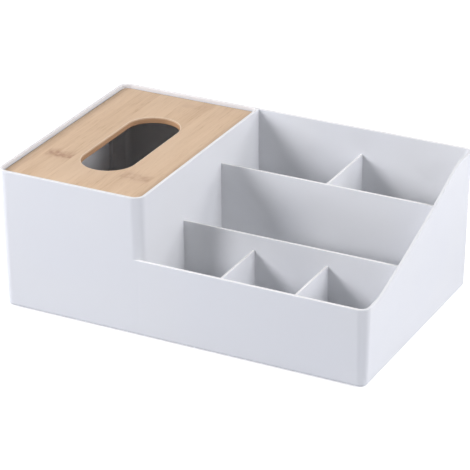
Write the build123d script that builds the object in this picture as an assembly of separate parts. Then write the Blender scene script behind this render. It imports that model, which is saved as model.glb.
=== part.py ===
"""Makeup organizer: a moulded plastic tray with a tissue compartment under a lift-off bamboo lid.

The body is one injection moulding: a stepped tray of six bays, and a taller tissue compartment
at its left end that shares the tray's floor, front wall and back wall. The bamboo lid lies
inside the compartment's rim on moulded ribs, and four silicone pads carry the whole.

Millimetres. X runs to the right, Y to the back and Z up. The origin is the centre of the
footprint, on the surface that the pads stand on. Plan sizes are measured at the rim.
"""
from build123d import *
from math import radians, sqrt, tan
import os

# Overall size, at the rim
width = 300.0
depth = 192.0
height = 112.0

# Moulding: outer walls lean outwards by wall_draft, dividers and ribs taper by rib_draft a side
wall = 2.4
floor_thickness = 2.6
wall_draft = 1.2
rib_draft = 0.4
corner_radius = 8.5
base_radius = 2.6
floor_radius = 1.6
rim_radius = 0.6

# Tissue compartment and its partition towards the tray
compartment_width = 121.2
partition_thickness = 2.2
partition_corner_radius = 4.0
compartment_foot = 1.4

# Side profile of the tray: low front, shallow concave rise, short level shoulder at the back
front_height = 62.7
rise_start = 24.5
shoulder_length = 31.5
rise_sag = 2.6
foot_radius = 16.0
shoulder_radius = 28.0

# Dividers: setbacks are from the front face to the divider's middle, bays are clear widths, and
# drops are below the side rim, the front rim and the rear long divider
divider_thickness = 1.9
divider_edge_radius = 0.5
long_divider_drop = 6.2
front_short_drop = 5.4
rear_short_drop = 0.3
front_divider_setback = 65.5
rear_divider_setback = 126.5
front_left_bay = 57.4
front_middle_bay = 57.2
rear_left_bay = 86.7

# Bamboo lid and its hand slot, which sits a little to the front and right of the lid's middle
lid_thickness = 5.0
lid_recess = 2.9
lid_gap = 0.4
lid_chamfer = 0.6
slot_width = 42.8
slot_length = 108.4
slot_setforward = 3.5
slot_setright = 1.7
slot_mouth_radius = 0.5

# Upright ribs inside the compartment, whose tops carry the lid
rib_thickness = 2.0
rib_reach = 4.0
side_rib_count = 3
side_rib_inset = 30.0

# Silicone pads, part sunk into round pockets of the recessed underside
pad_diameter = 14.0
pad_thickness = 2.0
pad_proud = 0.8
pad_clearance = 0.15
pad_chamfer = 0.3
pad_inset = 22.0
panel_recess = 0.5
panel_margin = 9.0
panel_corner_radius = 6.0

# Places that follow from the sizes above
left, right = -width / 2, width / 2
front, back = -depth / 2, depth / 2
base_z = pad_proud
floor_z = base_z + floor_thickness
rise_end = depth - shoulder_length
partition_right = left + compartment_width
partition_left = partition_right - partition_thickness
lid_top = height - lid_recess
lid_bottom = lid_top - lid_thickness
inside_floor = floor_z - floor_thickness / 2
beyond = 20.0


def walled_block(inset, bottom):
    """The outer wall's own shape, set inwards and filled, from the rim down to bottom."""
    plan = RectangleRounded(width - 2 * inset, depth - 2 * inset, corner_radius - inset)
    return extrude(Pos(0, 0, height) * plan, height - bottom, dir=(0, 0, -1), taper=wall_draft)


def upright_rib(start, end, thickness, top, edge_radius=0.0):
    """Rib along a line of the plan, set into the floor; it has its thickness at its top and widens
    downwards, and its top edges may be rounded."""
    growth = (top - inside_floor) * tan(radians(rib_draft))
    half_top, half_foot = thickness / 2, thickness / 2 + growth
    section = Polyline(
        (-half_foot, inside_floor), (half_foot, inside_floor), (half_top, top), (-half_top, top), close=True
    )
    profile = make_face(section)
    if edge_radius:
        profile = fillet(profile.vertices().group_by(Axis.Y)[-1], edge_radius)
    run = Vector(*end) - Vector(*start)
    upright = Plane(Vector(*start), x_dir=Vector(0, 0, 1).cross(run), z_dir=run)
    return extrude(upright * profile, run.length)


def left_of_partition(face_x, lean):
    """Everything left of a partition face at face_x on the rim; lean 1 moves right going down."""
    foot_x = face_x + lean * height * tan(radians(rib_draft))
    side = Polyline(
        (left - beyond, 0), (foot_x, 0), (face_x, height), (left - beyond, height), close=True
    )
    return extrude(Plane.XZ * make_face(side), depth, both=True)


def upright_edge(block, x, y):
    """The straight, nearly vertical edge of a block that stands nearest to x, y."""
    upright = [edge for edge in block.edges() if abs(edge.tangent_at(0.5).Z) > 0.9]
    return min(upright, key=lambda edge: (edge.center() - Vector(x, y, height / 2)).length)


def rim_edges(block, lowest):
    """Edges round the upward faces that lie above lowest, without the seams between them."""
    upward = [f for f in block.faces() if f.center().Z > lowest and f.normal_at().Z > 0.5]
    edges = ShapeList(edge for face in upward for edge in face.edges())
    return ShapeList(
        edge for edge in edges if sum((edge.center() - other.center()).length < 0.01 for other in edges) == 1
    )


def side_height(setback):
    """Height of the tray's side rim on its shallow arc, at a setback from the front face."""
    run, rise = rise_end - rise_start, height - front_height
    chord = sqrt(run**2 + rise**2)
    radius = (chord**2 / 4 + rise_sag**2) / (2 * rise_sag)
    above = radius - rise_sag
    centre_y = (rise_start + rise_end) / 2 - above * rise / chord
    centre_z = (front_height + height) / 2 + above * run / chord
    return centre_z - sqrt(radius**2 - (setback - centre_y) ** 2)


def space_above_tray():
    """What the stepped rim leaves open, over the whole width."""
    middle = (rise_start + rise_end) / 2
    start, end = (front + rise_start, front_height), (front + rise_end, height)
    ahead, behind, above = front - beyond, back + beyond, height + beyond
    rise = ThreePointArc(start, (front + middle, side_height(middle)), end)
    level = Line((ahead, front_height), start)
    outside = Polyline(end, (behind, height), (behind, above), (ahead, above), (ahead, front_height))
    outline = Plane.YZ * make_face(level + rise + outside)
    block = extrude(outline, width / 2 + beyond, both=True)
    for (y, z), radius in ((start, foot_radius), (end, shoulder_radius)):
        crease = block.edges().filter_by(Axis.X).sort_by_distance((0, y, z))[0]
        block = fillet(crease, radius)
    return block


def tray_shell():
    """Open box over the whole width, with the stepped rim rounded inside and out."""
    shell = walled_block(0, base_z) - space_above_tray() - walled_block(wall, floor_z)
    return fillet(rim_edges(shell, front_height - 1), rim_radius)


def compartment_block():
    """The tissue compartment as a filled block, with its free front corner and its rim rounded."""
    block = walled_block(0, inside_floor) & left_of_partition(partition_right, 1)
    block = fillet(upright_edge(block, partition_right, front), corner_radius)
    return fillet(block.faces().sort_by(Axis.Z)[-1].edges(), rim_radius)


def compartment_pocket():
    """The space inside the tissue compartment, with a chamfer round its floor."""
    pocket = walled_block(wall, floor_z) & left_of_partition(partition_left, -1)
    pocket = fillet(upright_edge(pocket, partition_left, front), corner_radius - wall)
    pocket = fillet(upright_edge(pocket, partition_left, back), partition_corner_radius)
    return chamfer(pocket.faces().sort_by(Axis.Z)[0].edges(), compartment_foot)


def divider(start, end, top):
    """Divider with rounded top edges."""
    return upright_rib(start, end, divider_thickness, top, divider_edge_radius)


def dividers():
    """Two long dividers, three short ones in front of or behind them, ends left long."""
    front_y, rear_y = front + front_divider_setback, front + rear_divider_setback
    front_top = side_height(front_divider_setback) - long_divider_drop
    rear_top = side_height(rear_divider_setback) - long_divider_drop
    in_partition = partition_right - partition_thickness / 2
    pieces = [
        divider((in_partition, front_y), (right, front_y), front_top),
        divider((in_partition, rear_y), (right, rear_y), rear_top),
    ]
    first_x = partition_right + front_left_bay + divider_thickness / 2
    for x in (first_x, first_x + divider_thickness + front_middle_bay):
        pieces.append(divider((x, front), (x, front_y), front_height - front_short_drop))
    rear_x = partition_right + rear_left_bay + divider_thickness / 2
    pieces.append(divider((rear_x, rear_y), (rear_x, back), rear_top - rear_short_drop))
    return pieces


def lid_ribs():
    """Ribs down the compartment's walls, some on each side and one at each end, outer ends long."""
    reach = wall + rib_reach
    in_partition = partition_left + partition_thickness / 2
    middle_x = (left + wall + partition_left) / 2
    lines = [((middle_x, front), (middle_x, front + reach)), ((middle_x, back), (middle_x, back - reach))]
    run = depth - 2 * side_rib_inset
    for i in range(side_rib_count):
        y = front + side_rib_inset + run * i / (side_rib_count - 1)
        lines.append(((left, y), (left + reach, y)))
        lines.append(((in_partition, y), (partition_left - rib_reach, y)))
    return [upright_rib(start, end, rib_thickness, lid_bottom) for start, end in lines]


def pad_places():
    """Each pad's node name and the centre of its pocket."""
    x, y = right - pad_inset, back - pad_inset
    return {
        "foot_pad_front_left": (-x, -y),
        "foot_pad_front_right": (x, -y),
        "foot_pad_rear_left": (-x, y),
        "foot_pad_rear_right": (x, y),
    }


def disc(place, radius, bottom, top):
    """Upright cylinder at place, from bottom to top."""
    return extrude(Pos(*place, bottom) * Circle(radius), top - bottom)


def underside_cuts():
    """Shallow recess of the underside and, deeper in it, the four pad pockets."""
    panel = RectangleRounded(width - 2 * panel_margin, depth - 2 * panel_margin, panel_corner_radius)
    recess = extrude(Pos(0, 0, base_z - beyond) * panel, beyond + panel_recess)
    pocket_radius = pad_diameter / 2 + pad_clearance
    pockets = [disc(place, pocket_radius, base_z - beyond, pad_thickness) for place in pad_places().values()]
    return [recess] + pockets


def organizer_body():
    """The whole moulding: both shells, dividers, lid ribs, inner rounds and underside."""
    body = tray_shell() + compartment_block() - compartment_pocket()
    mouth = [edge for edge in rim_edges(body, height - 1) if edge.center().Z > height - rim_radius / 2]
    body = fillet(mouth, rim_radius)
    inside_walls = walled_block(wall / 2, inside_floor)
    for rib in dividers() + lid_ribs():
        body += rib & inside_walls
    floors = [f for f in body.faces().filter_by(Plane.XY) if abs(f.center().Z - floor_z) < 0.01]
    bays = [face for face in floors if face.center().X > partition_right]
    body = fillet([edge for bay in bays for edge in bay.outer_wire().edges()], floor_radius)
    base = body.faces().sort_by(Axis.Z)[0]
    body = fillet(base.outer_wire().edges(), base_radius)
    for cut in underside_cuts():
        body -= cut
    return body


def bamboo_lid():
    """Board just inside the walls, chamfered, with a stadium slot whose upper mouth is rounded."""
    seat_depth = height - lid_bottom
    wall_gap = wall + seat_depth * tan(radians(wall_draft)) + lid_gap
    partition_gap = seat_depth * tan(radians(rib_draft)) + lid_gap
    x0, x1 = left + wall_gap, partition_left - partition_gap
    y0, y1 = front + wall_gap, back - wall_gap
    middle = Pos((x0 + x1) / 2, (y0 + y1) / 2, lid_bottom)
    board = extrude(middle * Rectangle(x1 - x0, y1 - y0), lid_thickness)
    tight_corner = board.edges().filter_by(Axis.Z).sort_by_distance((x1, y1, lid_bottom))[0]
    board = fillet(tight_corner, partition_corner_radius - lid_gap)
    wide_corners = board.edges().filter_by(Axis.Z).sort_by_distance((x0, y0, lid_bottom))[:3]
    board = fillet(wide_corners, corner_radius - wall - lid_gap)
    slot = middle * Pos(slot_setright, -slot_setforward) * Rot(0, 0, 90) * SlotOverall(slot_length, slot_width)
    board -= extrude(slot, lid_thickness)
    board = chamfer(board.faces().sort_by(Axis.Z)[0].edges(), lid_chamfer)
    board = chamfer(board.faces().sort_by(Axis.Z)[-1].outer_wire().edges(), lid_chamfer)
    return fillet(board.faces().sort_by(Axis.Z)[-1].inner_wires().edges(), slot_mouth_radius)


def foot_pad(place):
    """Round pad with a chamfered lower edge, standing proud of the underside."""
    pad = disc(place, pad_diameter / 2, 0, pad_thickness)
    return chamfer(pad.faces().sort_by(Axis.Z)[0].edges(), pad_chamfer)


def pieces():
    """Every piece under its node name."""
    named = {"organizer_body": organizer_body(), "bamboo_lid": bamboo_lid()}
    for name, place in pad_places().items():
        named[name] = foot_pad(place)
    return named


if __name__ == "__main__":
    os.makedirs("parts", exist_ok=True)
    for name, piece in pieces().items():
        export_step(piece, f"parts/{name}.step")
        box = piece.bounding_box()
        print(name, round(piece.volume), "mm3", box.min, box.max)
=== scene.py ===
import math

import bpy
from mathutils import Matrix, Vector


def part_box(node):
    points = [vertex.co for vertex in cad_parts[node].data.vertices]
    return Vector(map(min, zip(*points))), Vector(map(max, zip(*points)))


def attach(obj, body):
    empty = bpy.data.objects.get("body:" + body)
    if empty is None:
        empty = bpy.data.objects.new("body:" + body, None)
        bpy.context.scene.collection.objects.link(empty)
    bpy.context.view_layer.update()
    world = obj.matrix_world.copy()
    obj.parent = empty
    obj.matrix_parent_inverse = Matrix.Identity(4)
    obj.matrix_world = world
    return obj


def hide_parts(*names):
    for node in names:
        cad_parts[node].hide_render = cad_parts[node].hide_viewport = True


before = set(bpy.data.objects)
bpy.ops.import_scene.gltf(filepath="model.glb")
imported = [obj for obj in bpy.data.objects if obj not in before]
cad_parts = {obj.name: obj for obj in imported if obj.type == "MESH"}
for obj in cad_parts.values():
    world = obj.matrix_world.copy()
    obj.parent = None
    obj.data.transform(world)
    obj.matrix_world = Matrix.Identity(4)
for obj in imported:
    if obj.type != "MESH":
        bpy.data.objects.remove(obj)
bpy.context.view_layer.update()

print("frame loaded:", ", ".join(sorted(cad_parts)))

touching = 0.000001           # metres under which two places count as one
noiseLow, noiseHigh = 0.3, 0.7        # most values of a noise lie between these


# small helpers for node trees
def startMaterial(name):
    material = bpy.data.materials.new(name)
    material.use_nodes = True
    tree = material.node_tree
    tree.nodes.clear()
    output = tree.nodes.new("ShaderNodeOutputMaterial")
    shader = tree.nodes.new("ShaderNodeBsdfPrincipled")
    tree.links.new(shader.outputs["BSDF"], output.inputs["Surface"])
    return material, tree, shader


def feed(tree, socket, value):
    if isinstance(value, bpy.types.NodeSocket):
        tree.links.new(value, socket)
    else:
        socket.default_value = value


def mathNode(tree, operation, a, b=0.0, clamp=False):
    node = tree.nodes.new("ShaderNodeMath")
    node.operation = operation
    node.use_clamp = clamp
    feed(tree, node.inputs[0], a)
    feed(tree, node.inputs[1], b)
    return node.outputs[0]


def apart(tree, a, b):
    return mathNode(tree, "ABSOLUTE", mathNode(tree, "SUBTRACT", a, b))


def bell(tree, value, middle, width):
    away = mathNode(tree, "DIVIDE", mathNode(tree, "SUBTRACT", value, middle), width)
    square = mathNode(tree, "MULTIPLY", away, away)
    return mathNode(tree, "EXPONENT", mathNode(tree, "MULTIPLY", square, -1.0))


def centred(tree, pattern, swing):
    return mathNode(tree, "MULTIPLY", mathNode(tree, "SUBTRACT", pattern, 0.5), swing)


def spread(tree, value, low, high, newLow=0.0, newHigh=1.0, smooth=False):
    node = tree.nodes.new("ShaderNodeMapRange")
    if smooth:
        node.interpolation_type = "SMOOTHSTEP"
    feed(tree, node.inputs["Value"], value)
    node.inputs["From Min"].default_value = low
    node.inputs["From Max"].default_value = high
    node.inputs["To Min"].default_value = newLow
    node.inputs["To Max"].default_value = newHigh
    return node.outputs["Result"]


def objectPlace(tree):
    return tree.nodes.new("ShaderNodeTexCoord").outputs["Object"]


def splitPlace(tree, vector):
    node = tree.nodes.new("ShaderNodeSeparateXYZ")
    tree.links.new(vector, node.inputs[0])
    return node.outputs["X"], node.outputs["Y"], node.outputs["Z"]


def noise(tree, vector, size, detail, roughness=0.5):
    node = tree.nodes.new("ShaderNodeTexNoise")
    node.inputs["Scale"].default_value = size
    node.inputs["Detail"].default_value = detail
    node.inputs["Roughness"].default_value = roughness
    tree.links.new(vector, node.inputs["Vector"])
    return node.outputs["Fac"]


def patches(tree, vector, pattern):
    return noise(tree, vector, pattern["size"], pattern["detail"])


def alongGrain(tree, vector, pattern, roughness=0.5):
    node = tree.nodes.new("ShaderNodeMapping")
    node.inputs["Scale"].default_value = (pattern["across"], pattern["along"], pattern["across"])
    tree.links.new(vector, node.inputs["Vector"])
    return noise(tree, node.outputs["Vector"], 1.0, pattern["detail"], roughness)


def mixColour(tree, share, a, b):
    node = tree.nodes.new("ShaderNodeMix")
    node.data_type = "RGBA"
    feed(tree, node.inputs["Factor"], share)
    for socket, value in ((node.inputs[6], a), (node.inputs[7], b)):
        feed(tree, socket, value if isinstance(value, bpy.types.NodeSocket) else (*value, 1.0))
    return node.outputs[2]


def addGloss(tree, shader, pattern, p):
    smoothest, roughest = p["roughness"] - p["roughnessSwing"], p["roughness"] + p["roughnessSwing"]
    uneven = spread(tree, pattern, noiseLow, noiseHigh, smoothest, roughest)
    feed(tree, shader.inputs["Roughness"], uneven)
    shader.inputs["IOR"].default_value = p["refraction"]
    shader.inputs["Specular IOR Level"].default_value = p["specular"]


def addBump(tree, shader, height):
    node = tree.nodes.new("ShaderNodeBump")
    node.inputs["Strength"].default_value = 1.0
    node.inputs["Distance"].default_value = 1.0
    tree.links.new(height, node.inputs["Height"])
    tree.links.new(node.outputs["Normal"], shader.inputs["Normal"])


# white moulded plastic of the body
whitePlastic = {
    "colour": (0.798, 0.806, 0.818),
    "coolColour": (0.790, 0.800, 0.820),
    "rimHighlightColour": (0.905, 0.893, 0.878),      # painted highlight on rims and divider tops
    "rimHighlightFrom": 0.25,              # how far up a face looks where that starts, and where it is full
    "rimHighlightFull": 0.75,
    "floorTop": 0.02,             # nothing under this height counts as a rim
    "rightWall": 0.142,           # x where the right wall begins, whose rim gets a weaker painted highlight
    "rightFade": 0.004,
    "rightHighlightShare": 0.3,
    "roughness": 0.38,
    "roughnessSwing": 0.05,
    "specular": 0.42,
    "refraction": 1.49,
    # patches per metre and how finely they break up; heights are in metres
    "tint": {"size": 14.0, "detail": 1.0, "from": 0.35, "to": 0.65},      # between the two colours
    "haze": {"size": 60.0, "detail": 3.0},                                # uneven gloss
    "grain": {"size": 2600.0, "detail": 2.0, "height": 0.000004},         # spark-eroded mould texture
    "wave": {"size": 22.0, "detail": 1.0, "height": 0.00002},             # slow swell of moulded walls
    "sinkPlace": -0.0325,         # x of the sink mark where the partition meets the front and back wall
    "sinkWidth": 0.0024,
    "sinkDepth": 0.00006,
}


def makeWhitePlastic(p):
    material, tree, shader = startMaterial("whitePlastic")
    place = objectPlace(tree)
    x, _, z = splitPlace(tree, place)
    tint = spread(tree, patches(tree, place, p["tint"]), p["tint"]["from"], p["tint"]["to"], smooth=True)
    colour = mixColour(tree, tint, p["colour"], p["coolColour"])
    # painted highlight on what looks up and lies above the floor: rims and divider tops
    facing = tree.nodes.new("ShaderNodeTexCoord").outputs["Normal"]
    upward = splitPlace(tree, facing)[2]
    rimHighlight = spread(tree, upward, p["rimHighlightFrom"], p["rimHighlightFull"], smooth=True)
    rimHighlight = mathNode(tree, "MULTIPLY", rimHighlight, mathNode(tree, "GREATER_THAN", z, p["floorTop"]))
    less = spread(tree, x, p["rightWall"], p["rightWall"] + p["rightFade"], 1.0, p["rightHighlightShare"])
    rimHighlight = mathNode(tree, "MULTIPLY", rimHighlight, less)
    feed(tree, shader.inputs["Base Color"], mixColour(tree, rimHighlight, colour, p["rimHighlightColour"]))
    addGloss(tree, shader, patches(tree, place, p["haze"]), p)
    grain = mathNode(tree, "MULTIPLY", patches(tree, place, p["grain"]), p["grain"]["height"])
    wave = mathNode(tree, "MULTIPLY", patches(tree, place, p["wave"]), p["wave"]["height"])
    away = apart(tree, x, p["sinkPlace"])
    sink = spread(tree, away, 0.0, p["sinkWidth"], -p["sinkDepth"], 0.0, smooth=True)
    addBump(tree, shader, mathNode(tree, "ADD", mathNode(tree, "ADD", grain, wave), sink))
    return material


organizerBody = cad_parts["organizer_body"]
bodyFinish = makeWhitePlastic(whitePlastic)
if not organizerBody.material_slots:
    organizerBody.data.materials.append(bodyFinish)
for materialSlot in organizerBody.material_slots:
    materialSlot.material = bodyFinish
print("white plastic on the body")


# helpers for modelling by hand
def deselectAll():
    if bpy.context.mode != "OBJECT":
        bpy.ops.object.mode_set(mode="OBJECT")
    bpy.ops.object.select_all(action="DESELECT")


def startChoice(kind):
    bpy.ops.object.mode_set(mode="EDIT")
    bpy.ops.mesh.select_mode(type=kind)
    bpy.ops.mesh.select_all(action="DESELECT")
    bpy.ops.object.mode_set(mode="OBJECT")


def chooseVertices(piece, test):
    startChoice("VERT")
    for vertex in piece.data.vertices:
        vertex.select = test(vertex.co)
    bpy.ops.object.mode_set(mode="EDIT")


def chooseEdges(piece, test):
    # test is given the places of an edge's two ends
    startChoice("EDGE")
    points = [vertex.co for vertex in piece.data.vertices]
    for edge in piece.data.edges:
        edge.select = test(points[edge.vertices[0]], points[edge.vertices[1]])
    bpy.ops.object.mode_set(mode="EDIT")


def chooseFaces(piece, test):
    startChoice("FACE")
    for face in piece.data.polygons:
        face.select = test(face.center)
    bpy.ops.object.mode_set(mode="EDIT")


def finishMesh(smoothAngle=38):
    bpy.ops.object.mode_set(mode="EDIT")
    bpy.ops.mesh.select_all(action="SELECT")
    bpy.ops.mesh.remove_doubles(threshold=touching)
    bpy.ops.mesh.normals_make_consistent(inside=False)
    bpy.ops.object.mode_set(mode="OBJECT")
    bpy.ops.object.transform_apply(location=True, rotation=True, scale=True)
    bpy.ops.object.shade_smooth_by_angle(angle=math.radians(smoothAngle))


# laminated bamboo lid
lidBoard = {
    "wideRadius": 0.0057,         # corners against the outer walls
    "tightRadius": 0.0036,        # rear corner beside the partition
    "cornerSteps": 12,
    "slotWidth": 0.0428,
    "slotLength": 0.1084,
    "slotForward": 0.0035,        # how far the slot's middle lies in front of the board's
    "slotRight": 0.0017,          # and to the right of it
    "slotPoints": 98,
    "slotMargin": 0.001,          # points this near the slot belong to it
    "edgeRadius": 0.0006,         # sanded outer edges
    "mouthRadius": 0.0005,        # upper edge of the slot
    "edgeSteps": 4,
}


def slotMiddle(p):
    low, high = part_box("bamboo_lid")
    middle = (low + high) / 2
    return middle.x + p["slotRight"], middle.y - p["slotForward"]


def drawBoardOutline(p):
    low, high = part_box("bamboo_lid")
    middle, size = (low + high) / 2, high - low
    deselectAll()
    bpy.ops.mesh.primitive_plane_add(size=1, location=(middle.x, middle.y, high.z))
    board = bpy.context.object
    board.name = "lidBoard"
    bpy.ops.transform.resize(value=(size.x, size.y, 1))
    bpy.ops.object.transform_apply(location=True, rotation=True, scale=True)
    # rounded corners, then points along the straight sides, as many in all as round the slot
    for isTight, radius in ((False, p["wideRadius"]), (True, p["tightRadius"])):
        chooseVertices(board, lambda at: (
            min(abs(at.x - low.x), abs(at.x - high.x)) < touching
            and min(abs(at.y - low.y), abs(at.y - high.y)) < touching
            and (at.x > middle.x and at.y > middle.y) == isTight
        ))
        bpy.ops.mesh.bevel(offset=radius, segments=p["cornerSteps"], profile=0.5, affect="VERTICES")
    bpy.ops.mesh.select_all(action="SELECT")
    bpy.ops.mesh.delete(type="ONLY_FACE")
    missing = (p["slotPoints"] - 4 * (p["cornerSteps"] + 1)) // 2
    longCuts = round(missing * size.y / (size.x + size.y))
    chooseEdges(board, lambda a, b: abs(a.y - b.y) > size.y / 2)
    bpy.ops.mesh.subdivide(number_cuts=longCuts)
    chooseEdges(board, lambda a, b: abs(a.x - b.x) > size.x / 2)
    bpy.ops.mesh.subdivide(number_cuts=missing - longCuts)
    return board


def drawSlotOutline(p):
    # a circle pulled apart along the board
    pull = (p["slotLength"] - p["slotWidth"]) / 2
    deselectAll()
    bpy.ops.mesh.primitive_circle_add(
        vertices=p["slotPoints"], radius=p["slotWidth"] / 2, fill_type="NOTHING",
        location=(*slotMiddle(p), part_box("bamboo_lid")[1].z),
    )
    outline = bpy.context.object
    for side in (-1, 1):
        chooseVertices(outline, lambda at: at.y * side > 0)
        bpy.ops.transform.translate(value=(0, side * pull, 0))
    return outline


def makeLidBoard(p):
    low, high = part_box("bamboo_lid")
    board = drawBoardOutline(p)
    outline = drawSlotOutline(p)
    deselectAll()
    outline.select_set(True)
    board.select_set(True)
    bpy.context.view_layer.objects.active = board
    bpy.ops.object.join()
    bpy.ops.object.mode_set(mode="EDIT")
    bpy.ops.mesh.select_mode(type="EDGE")
    bpy.ops.mesh.select_all(action="SELECT")
    bpy.ops.mesh.bridge_edge_loops()
    bpy.ops.mesh.normals_make_consistent(inside=False)
    bpy.ops.object.mode_set(mode="OBJECT")
    if board.data.polygons[0].normal.z < 0:
        board.data.flip_normals()
    thick = board.modifiers.new("thickness", "SOLIDIFY")
    thick.thickness = high.z - low.z
    thick.offset = -1
    bpy.ops.object.modifier_apply(modifier="thickness")
    # sanded edges: the slot's upper mouth has its own radius
    slotX, slotY = slotMiddle(p)
    reachX, reachY = p["slotWidth"] / 2 + p["slotMargin"], p["slotLength"] / 2 + p["slotMargin"]

    def inSlot(at):
        return abs(at.x - slotX) < reachX and abs(at.y - slotY) < reachY

    def isOutline(a, b, height):
        isLevel = abs(a.z - height) < touching and abs(b.z - height) < touching
        return isLevel and inSlot(a) == inSlot(b)

    chooseEdges(board, lambda a, b: isOutline(a, b, high.z) and inSlot(a))
    bpy.ops.mesh.bevel(offset=p["mouthRadius"], segments=p["edgeSteps"] + 1, profile=0.5, affect="EDGES")
    chooseEdges(board, lambda a, b: (
        isOutline(a, b, low.z) or (isOutline(a, b, high.z) and not inSlot(a))
    ))
    bpy.ops.mesh.bevel(offset=p["edgeRadius"], segments=p["edgeSteps"], profile=0.5, affect="EDGES")
    finishMesh()
    return board


bamboo = {
    "tones": (
        {"at": 0.1, "colour": (0.790, 0.590, 0.408)},
        {"at": 0.5, "colour": (0.705, 0.508, 0.337)},
        {"at": 1.0, "colour": (0.500, 0.320, 0.185)},
    ),
    # glued strips from the lid's left edge: where each ends, its own tone, its own stretch of grain
    "strips": (
        {"end": -0.1364, "tone": 0.46, "grain": 0.13},
        {"end": -0.1142, "tone": 0.52, "grain": 0.71},
        {"end": -0.0901, "tone": 0.40, "grain": 0.37},
        {"end": -0.0658, "tone": 0.50, "grain": 0.92},
        {"end": -0.0414, "tone": 0.46, "grain": 0.05},
        {"end": -0.0314, "tone": 0.44, "grain": 0.58},
    ),
    "grainShift": 3.0,            # metres of grain between one strip and the next
    "jointWidth": 0.0003,
    "jointDark": 0.12,
    # noises per metre across and along the grain, how finely they break up, how much each darkens
    "broad": {"across": 60.0, "along": 9.0, "detail": 2.0, "swing": 0.60},
    "streaks": {"across": 330.0, "along": 9.0, "detail": 3.0, "swing": 0.40},
    "fibres": {"across": 1300.0, "along": 26.0, "detail": 3.0, "swing": 0.30},
    "flecks": {"across": 1500.0, "along": 80.0, "detail": 1.0, "from": 0.56, "to": 0.74, "depth": 0.22},
    "grainRoughness": 0.55,
    "fibreRelief": 0.000005,
    # growth rings across a strip: their middle, half the strip's width, and how strong
    "rings": (
        {"x": -0.1253, "y": -0.0470, "half": 0.0112, "strength": 0.66},
        {"x": -0.0536, "y": -0.0590, "half": 0.0122, "strength": 0.40},
        {"x": -0.0790, "y": 0.0790, "half": 0.0100, "strength": 0.16},
    ),
    "ringColour": (0.310, 0.140, 0.085),
    "ringFadeFrom": 0.0008,       # a ring fades from this far inside its strip's side
    "ringFadeTo": 0.0004,         # to this far outside it
    "ringCore": 0.0018,           # half the thickness of its first line
    "ringGap": 0.0044,            # from there to its second line
    "secondWidth": 1.3,           # thickness and strength of the second, as shares of the first's
    "secondShare": 0.6,
    "lineShare": 0.42,            # how dark the two lines are
    "ringHalo": 0.0060,           # half the width of the stain round both, and how dark that is
    "ringStain": 0.90,
    "ringWaver": {"across": 110.0, "along": 50.0, "detail": 2.0, "swing": 0.0040},     # how they stray
    "ringFray": {"across": 800.0, "along": 120.0, "detail": 2.0, "swing": 0.0030},
    "ringBlots": {"size": 300.0, "detail": 3.0, "from": 0.32, "to": 0.68, "least": 0.35},
    # painted highlight along the slot's mouth, on the flat top only
    "mouthHighlightColour": (0.940, 0.800, 0.650),
    "mouthWidth": 0.0009,
    "mouthHighlightShare": 0.55,
    "mouthNone": 0.0002,          # metres under the top where it has gone, and where it is full
    "mouthFull": 0.00005,
    # painted shade on the slot's walls, starting just under the top
    "shadeColour": (0.430, 0.228, 0.112),
    "shadeFrom": 0.0007,          # metres under the top where that colour starts
    "shadeOver": 0.0009,
    "shadeShare": 0.80,
    # painted shadow of the gap along the board's outer edges
    "gapShadowColour": (0.170, 0.130, 0.110),
    "gapShadowWidth": 0.0008,
    "gapShadowShare": 0.80,
    "roughness": 0.52,
    "roughnessSwing": 0.06,
    "specular": 0.30,
    "refraction": 1.47,
}


def stripValue(tree, x, p, key):
    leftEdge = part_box("bamboo_lid")[0].x
    rightEnd = p["strips"][-1]["end"]
    ramp = tree.nodes.new("ShaderNodeValToRGB")
    ramp.color_ramp.interpolation = "CONSTANT"
    start = 0.0
    for index, strip in enumerate(p["strips"]):
        stop = ramp.color_ramp.elements[0] if index == 0 else ramp.color_ramp.elements.new(start)
        stop.position = start
        stop.color = (strip[key], strip[key], strip[key], 1.0)
        start = (strip["end"] - leftEdge) / (rightEnd - leftEdge)
    ramp.color_ramp.elements.remove(ramp.color_ramp.elements[-1])
    feed(tree, ramp.inputs["Fac"], spread(tree, x, leftEdge, rightEnd))
    return ramp.outputs["Color"]


def glueStrips(tree, x, y, z, p):
    # every strip reads its own stretch of the same long grain
    combine = tree.nodes.new("ShaderNodeCombineXYZ")
    shift = mathNode(tree, "MULTIPLY", stripValue(tree, x, p, "grain"), p["grainShift"])
    for name, value in (("X", x), ("Y", mathNode(tree, "ADD", y, shift)), ("Z", z)):
        feed(tree, combine.inputs[name], value)
    own = combine.outputs["Vector"]
    depth = stripValue(tree, x, p, "tone")
    patterns = {}
    for name in ("broad", "streaks", "fibres"):
        patterns[name] = alongGrain(tree, own, p[name], p["grainRoughness"])
        depth = mathNode(tree, "ADD", depth, centred(tree, patterns[name], p[name]["swing"]))
    flecks = alongGrain(tree, own, p["flecks"])
    flecks = spread(tree, flecks, p["flecks"]["from"], p["flecks"]["to"], 0.0, p["flecks"]["depth"])
    depth = mathNode(tree, "ADD", depth, flecks)
    for strip in p["strips"][:-1]:
        joint = spread(tree, apart(tree, x, strip["end"]), 0.0, p["jointWidth"], p["jointDark"], 0.0)
        depth = mathNode(tree, "ADD", depth, joint)
    ramp = tree.nodes.new("ShaderNodeValToRGB")
    ramp.color_ramp.elements.new(p["tones"][1]["at"])
    for stop, tone in zip(ramp.color_ramp.elements, p["tones"]):
        stop.position = tone["at"]
        stop.color = (*tone["colour"], 1.0)
    feed(tree, ramp.inputs["Fac"], depth)
    return ramp.outputs["Color"], patterns["fibres"]


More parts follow.
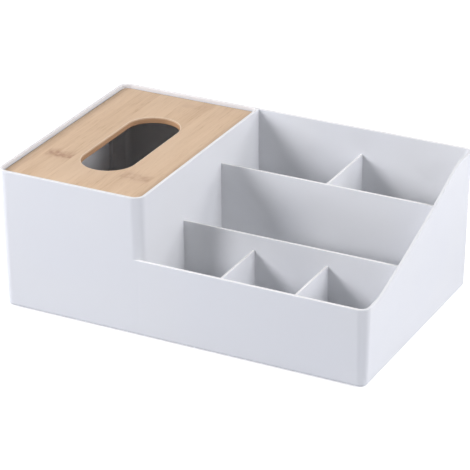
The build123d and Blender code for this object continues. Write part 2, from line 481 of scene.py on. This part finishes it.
def addRings(tree, place, x, y, colour, p):
    # where the cane had its joints: two wavering lines with a stained band between them
    waver = centred(tree, alongGrain(tree, place, p["ringWaver"]), p["ringWaver"]["swing"])
    fray = centred(tree, alongGrain(tree, place, p["ringFray"]), p["ringFray"]["swing"])
    ringY = mathNode(tree, "ADD", y, mathNode(tree, "ADD", waver, fray))
    blots = p["ringBlots"]
    blotch = spread(tree, patches(tree, place, blots), blots["from"], blots["to"], blots["least"], 1.0)
    for ring in p["rings"]:
        fadeFrom, fadeTo = ring["half"] - p["ringFadeFrom"], ring["half"] + p["ringFadeTo"]
        inStrip = spread(tree, apart(tree, x, ring["x"]), fadeFrom, fadeTo, 1.0, 0.0)
        first = bell(tree, ringY, ring["y"], p["ringCore"])
        second = bell(tree, ringY, ring["y"] + p["ringGap"], p["ringCore"] * p["secondWidth"])
        lines = mathNode(tree, "ADD", first, mathNode(tree, "MULTIPLY", second, p["secondShare"]))
        lines = mathNode(tree, "MULTIPLY", lines, p["lineShare"])
        stain = bell(tree, ringY, ring["y"] + p["ringGap"] / 2, p["ringHalo"])
        stain = mathNode(tree, "MULTIPLY", stain, p["ringStain"])
        mask = mathNode(tree, "ADD", lines, stain, clamp=True)
        for share in (inStrip, blotch, ring["strength"]):
            mask = mathNode(tree, "MULTIPLY", mask, share)
        colour = mixColour(tree, mask, colour, p["ringColour"])
    return colour


def awayFromSlot(tree, x, y, lid):
    # metres from the slot's wall, and less than nothing within the slot
    slotX, slotY = slotMiddle(lid)
    straight = lid["slotLength"] - lid["slotWidth"]
    beside = mathNode(tree, "SUBTRACT", x, slotX)
    ahead = mathNode(tree, "SUBTRACT", apart(tree, y, slotY), straight / 2)
    ahead = mathNode(tree, "MAXIMUM", ahead, 0.0)
    squares = (mathNode(tree, "POWER", beside, 2.0), mathNode(tree, "POWER", ahead, 2.0))
    distance = mathNode(tree, "SQRT", mathNode(tree, "ADD", *squares))
    return mathNode(tree, "SUBTRACT", distance, lid["slotWidth"] / 2)


def insideBoard(tree, x, y, low, high):
    # metres inwards from the nearest of the board's four sides
    fromSides = mathNode(
        tree, "MINIMUM", mathNode(tree, "SUBTRACT", x, low.x), mathNode(tree, "SUBTRACT", high.x, x)
    )
    fromEnds = mathNode(
        tree, "MINIMUM", mathNode(tree, "SUBTRACT", y, low.y), mathNode(tree, "SUBTRACT", high.y, y)
    )
    return mathNode(tree, "MINIMUM", fromSides, fromEnds)


def makeBamboo(p, lid):
    material, tree, shader = startMaterial("bambooBoard")
    low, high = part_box("bamboo_lid")
    place = objectPlace(tree)
    x, y, z = splitPlace(tree, place)
    colour, fibres = glueStrips(tree, x, y, z, p)
    colour = addRings(tree, place, x, y, colour, p)
    # painted highlight round the slot's mouth, painted shadow of the gap along the board's outer edges,
    # painted shade on the slot's walls
    away = awayFromSlot(tree, x, y, lid)
    mouthHighlight = spread(tree, away, p["mouthWidth"] / 2, p["mouthWidth"], p["mouthHighlightShare"], 0.0)
    onTop = spread(tree, z, high.z - p["mouthNone"], high.z - p["mouthFull"])
    colour = mixColour(tree, mathNode(tree, "MULTIPLY", mouthHighlight, onTop), colour, p["mouthHighlightColour"])
    inwards = insideBoard(tree, x, y, low, high)
    # painted shadow of the gap between the board and the walls
    edge = spread(tree, inwards, p["gapShadowWidth"] / 2, p["gapShadowWidth"], p["gapShadowShare"], 0.0)
    colour = mixColour(tree, edge, colour, p["gapShadowColour"])
    top = high.z - p["shadeFrom"]
    shade = spread(tree, z, top - p["shadeOver"], top, p["shadeShare"], 0.0, smooth=True)
    nearSlot = spread(tree, away, p["mouthWidth"], 2 * p["mouthWidth"], 1.0, 0.0)
    colour = mixColour(tree, mathNode(tree, "MULTIPLY", shade, nearSlot), colour, p["shadeColour"])
    feed(tree, shader.inputs["Base Color"], colour)
    addGloss(tree, shader, fibres, p)
    addBump(tree, shader, mathNode(tree, "MULTIPLY", fibres, p["fibreRelief"]))
    return material


board = makeLidBoard(lidBoard)
board.data.materials.append(makeBamboo(bamboo, lidBoard))
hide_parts("bamboo_lid")
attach(board, "lid")
print("lid board made:", len(board.data.polygons), "faces")


# milky silicone pads under the body
footPad = {
    "names": ("foot_pad_front_left", "foot_pad_front_right", "foot_pad_rear_left", "foot_pad_rear_right"),
    "points": 64,
    "edgeRadius": 0.0003,
    "edgeSteps": 3,
    "grooves": 3,                 # rings moulded into the sole
    "grooveStep": 0.0016,
    "grooveWidth": 0.0004,
    "grooveDepth": 0.00015,
    "colour": (0.72, 0.73, 0.74),
    "cloudColour": (0.68, 0.69, 0.705),
    "cloud": {"size": 900.0, "detail": 2.0},      # patches per metre
    "skinHeight": 0.000006,
    "roughness": 0.55,
    "roughnessSwing": 0.06,
    "specular": 0.5,
    "refraction": 1.43,
}


def makeFootPad(p):
    low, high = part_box(p["names"][0])
    middle, size = (low + high) / 2, high - low
    deselectAll()
    bpy.ops.mesh.primitive_cylinder_add(
        vertices=p["points"], radius=size.x / 2, depth=size.z, location=middle
    )
    pad = bpy.context.object
    bpy.ops.object.transform_apply(location=True, rotation=True, scale=True)
    chooseEdges(pad, lambda a, b: a.z < middle.z and b.z < middle.z)
    bpy.ops.mesh.bevel(offset=p["edgeRadius"], segments=p["edgeSteps"], profile=0.5, affect="EDGES")
    # each groove: inset to its outer line, inset over its slope, pushed in, and out again
    chooseFaces(pad, lambda at: at.z < low.z + touching)
    for _ in range(p["grooves"]):
        bpy.ops.mesh.inset(thickness=p["grooveStep"] - p["grooveWidth"], depth=0)
        bpy.ops.mesh.inset(thickness=p["grooveWidth"] / 2, depth=-p["grooveDepth"])
        bpy.ops.mesh.inset(thickness=p["grooveWidth"] / 2, depth=p["grooveDepth"])
    finishMesh()
    return pad


def makeSilicone(p):
    material, tree, shader = startMaterial("milkySilicone")
    cloud = patches(tree, objectPlace(tree), p["cloud"])
    share = spread(tree, cloud, noiseLow, noiseHigh)
    feed(tree, shader.inputs["Base Color"], mixColour(tree, share, p["colour"], p["cloudColour"]))
    addGloss(tree, shader, cloud, p)
    addBump(tree, shader, mathNode(tree, "MULTIPLY", cloud, p["skinHeight"]))
    return material


padFinish = makeSilicone(footPad)
firstPad = makeFootPad(footPad)
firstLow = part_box(footPad["names"][0])[0]
for nodeName in footPad["names"]:
    pad = firstPad
    if nodeName != footPad["names"][0]:
        deselectAll()
        firstPad.select_set(True)
        bpy.context.view_layer.objects.active = firstPad
        bpy.ops.object.duplicate(linked=False)
        pad = bpy.context.object
        pad.data.materials.clear()
        bpy.ops.transform.translate(value=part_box(nodeName)[0] - firstLow)
        bpy.ops.object.transform_apply(location=True, rotation=True, scale=True)
    pad.name = "sole_" + nodeName.removeprefix("foot_pad_")
    pad.data.materials.append(padFinish)
    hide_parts(nodeName)
    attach(pad, "organizer")
print("four pads made")


# floor and white studio
studio = {
    "floorSize": 12.0,
    "floorColour": (0.90, 0.90, 0.90),    # as the camera sees it
    "bounceColour": (0.43, 0.45, 0.49),   # as it lights the object from below
    "floorRoughness": 0.9,
    "floorLift": 0.55,            # keeps the floor white up to the thin shadow under the bottom edge
    "backgroundColour": (1.0, 1.0, 1.0),  # the world as the camera sees it
    "worldColour": (1.0, 1.0, 1.03),      # and as it lights the object
    "worldStrength": 0.110,
    "lampColour": (1.0, 1.0, 1.05),
    "aim": (0.0, 0.0, 0.055),
    # degrees round the object from its front, degrees above it, metres away, metres across, watts
    "lamps": {
        "keyLeft": {"azimuth": -75, "elevation": 23, "distance": 1.6, "size": 0.5, "power": 13.3},
        "frontFill": {"azimuth": -30, "elevation": 25, "distance": 1.8, "size": 0.5, "power": 16.8},
        "sideRight": {"azimuth": 90, "elevation": 31, "distance": 1.6, "size": 0.8, "power": 14.5},
        "rearRight": {"azimuth": 140, "elevation": 30, "distance": 1.6, "size": 0.8, "power": 7.2},
    },
}


def seenDirectly(tree):
    path = tree.nodes.new("ShaderNodeLightPath")
    seen = path.outputs["Is Camera Ray"]
    for name in ("Is Glossy Ray", "Is Transmission Ray"):
        seen = mathNode(tree, "MAXIMUM", seen, path.outputs[name])
    return seen


def outwards(azimuth, elevation):
    # the direction from the object, in degrees round it from its front and above it
    azimuth, elevation = math.radians(azimuth), math.radians(elevation)
    return Vector((
        math.sin(azimuth) * math.cos(elevation),
        -math.cos(azimuth) * math.cos(elevation),
        math.sin(elevation),
    ))


def makeFloor(p):
    deselectAll()
    bpy.ops.mesh.primitive_plane_add(size=p["floorSize"], location=(0, 0, 0))
    floor = bpy.context.object
    floor.name = "studioFloor"
    material, tree, shader = startMaterial("paleFloor")
    seen = seenDirectly(tree)
    feed(tree, shader.inputs["Base Color"], mixColour(tree, seen, p["bounceColour"], p["floorColour"]))
    shader.inputs["Roughness"].default_value = p["floorRoughness"]
    lift = tree.nodes.new("ShaderNodeEmission")
    feed(tree, lift.inputs["Strength"], mathNode(tree, "MULTIPLY", seen, p["floorLift"]))
    both = tree.nodes.new("ShaderNodeAddShader")
    feed(tree, both.inputs[0], shader.outputs["BSDF"])
    feed(tree, both.inputs[1], lift.outputs["Emission"])
    output = next(n for n in tree.nodes if n.type == "OUTPUT_MATERIAL")
    feed(tree, output.inputs["Surface"], both.outputs["Shader"])
    floor.data.materials.append(material)


def makeWorld(p):
    world = bpy.data.worlds.new("whiteStudio")
    bpy.context.scene.world = world
    world.use_nodes = True
    tree = world.node_tree
    tree.nodes.clear()
    output = tree.nodes.new("ShaderNodeOutputWorld")
    mix = tree.nodes.new("ShaderNodeMixShader")
    feed(tree, mix.inputs[0], seenDirectly(tree))
    looks = ((p["worldColour"], p["worldStrength"]), (p["backgroundColour"], 1.0))
    for socket, (colour, strength) in zip(list(mix.inputs)[1:], looks):
        look = tree.nodes.new("ShaderNodeBackground")
        look.inputs["Color"].default_value = (*colour, 1.0)
        look.inputs["Strength"].default_value = strength
        feed(tree, socket, look.outputs[0])
    feed(tree, output.inputs["Surface"], mix.outputs[0])


def makeLamps(p):
    for name, lamp in p["lamps"].items():
        light = bpy.data.lights.new(name, "AREA")
        light.shape = "DISK"
        light.size = lamp["size"]
        light.energy = lamp["power"]
        light.color = p["lampColour"]
        holder = bpy.data.objects.new(name, light)
        bpy.context.scene.collection.objects.link(holder)
        direction = outwards(lamp["azimuth"], lamp["elevation"])
        holder.location = Vector(p["aim"]) + direction * lamp["distance"]
        holder.rotation_euler = (-direction).to_track_quat("-Z", "Y").to_euler()


makeFloor(studio)
makeWorld(studio)
makeLamps(studio)
print("studio ready")


# camera at the photograph's viewing angle
cameraPlace = {
    "azimuth": 27.143,            # degrees, round the object from the front towards its right
    "elevation": 25.312,
    "roll": -0.227,
    "distance": 1.8447,
    "target": (0.00959, -0.02248, 0.06141),
    "lens": 191.52,
    "sensor": 36.0,
}


def makeCamera(p):
    roll = math.radians(p["roll"])
    backward = outwards(p["azimuth"], p["elevation"])
    level = outwards(p["azimuth"] + 90, 0)
    upward = backward.cross(level)
    sideways = level * math.cos(roll) + upward * math.sin(roll)
    upright = upward * math.cos(roll) - level * math.sin(roll)
    camera = bpy.data.objects.new("camera", bpy.data.cameras.new("camera"))
    bpy.context.scene.collection.objects.link(camera)
    turn = Matrix((sideways, upright, backward)).transposed()
    camera.matrix_world = Matrix.Translation(Vector(p["target"]) + backward * p["distance"]) @ turn.to_4x4()
    camera.data.lens = p["lens"]
    camera.data.sensor_width = p["sensor"]
    bpy.context.scene.camera = camera


makeCamera(cameraPlace)
bpy.context.scene.view_settings.view_transform = "Standard"
print("camera ready")
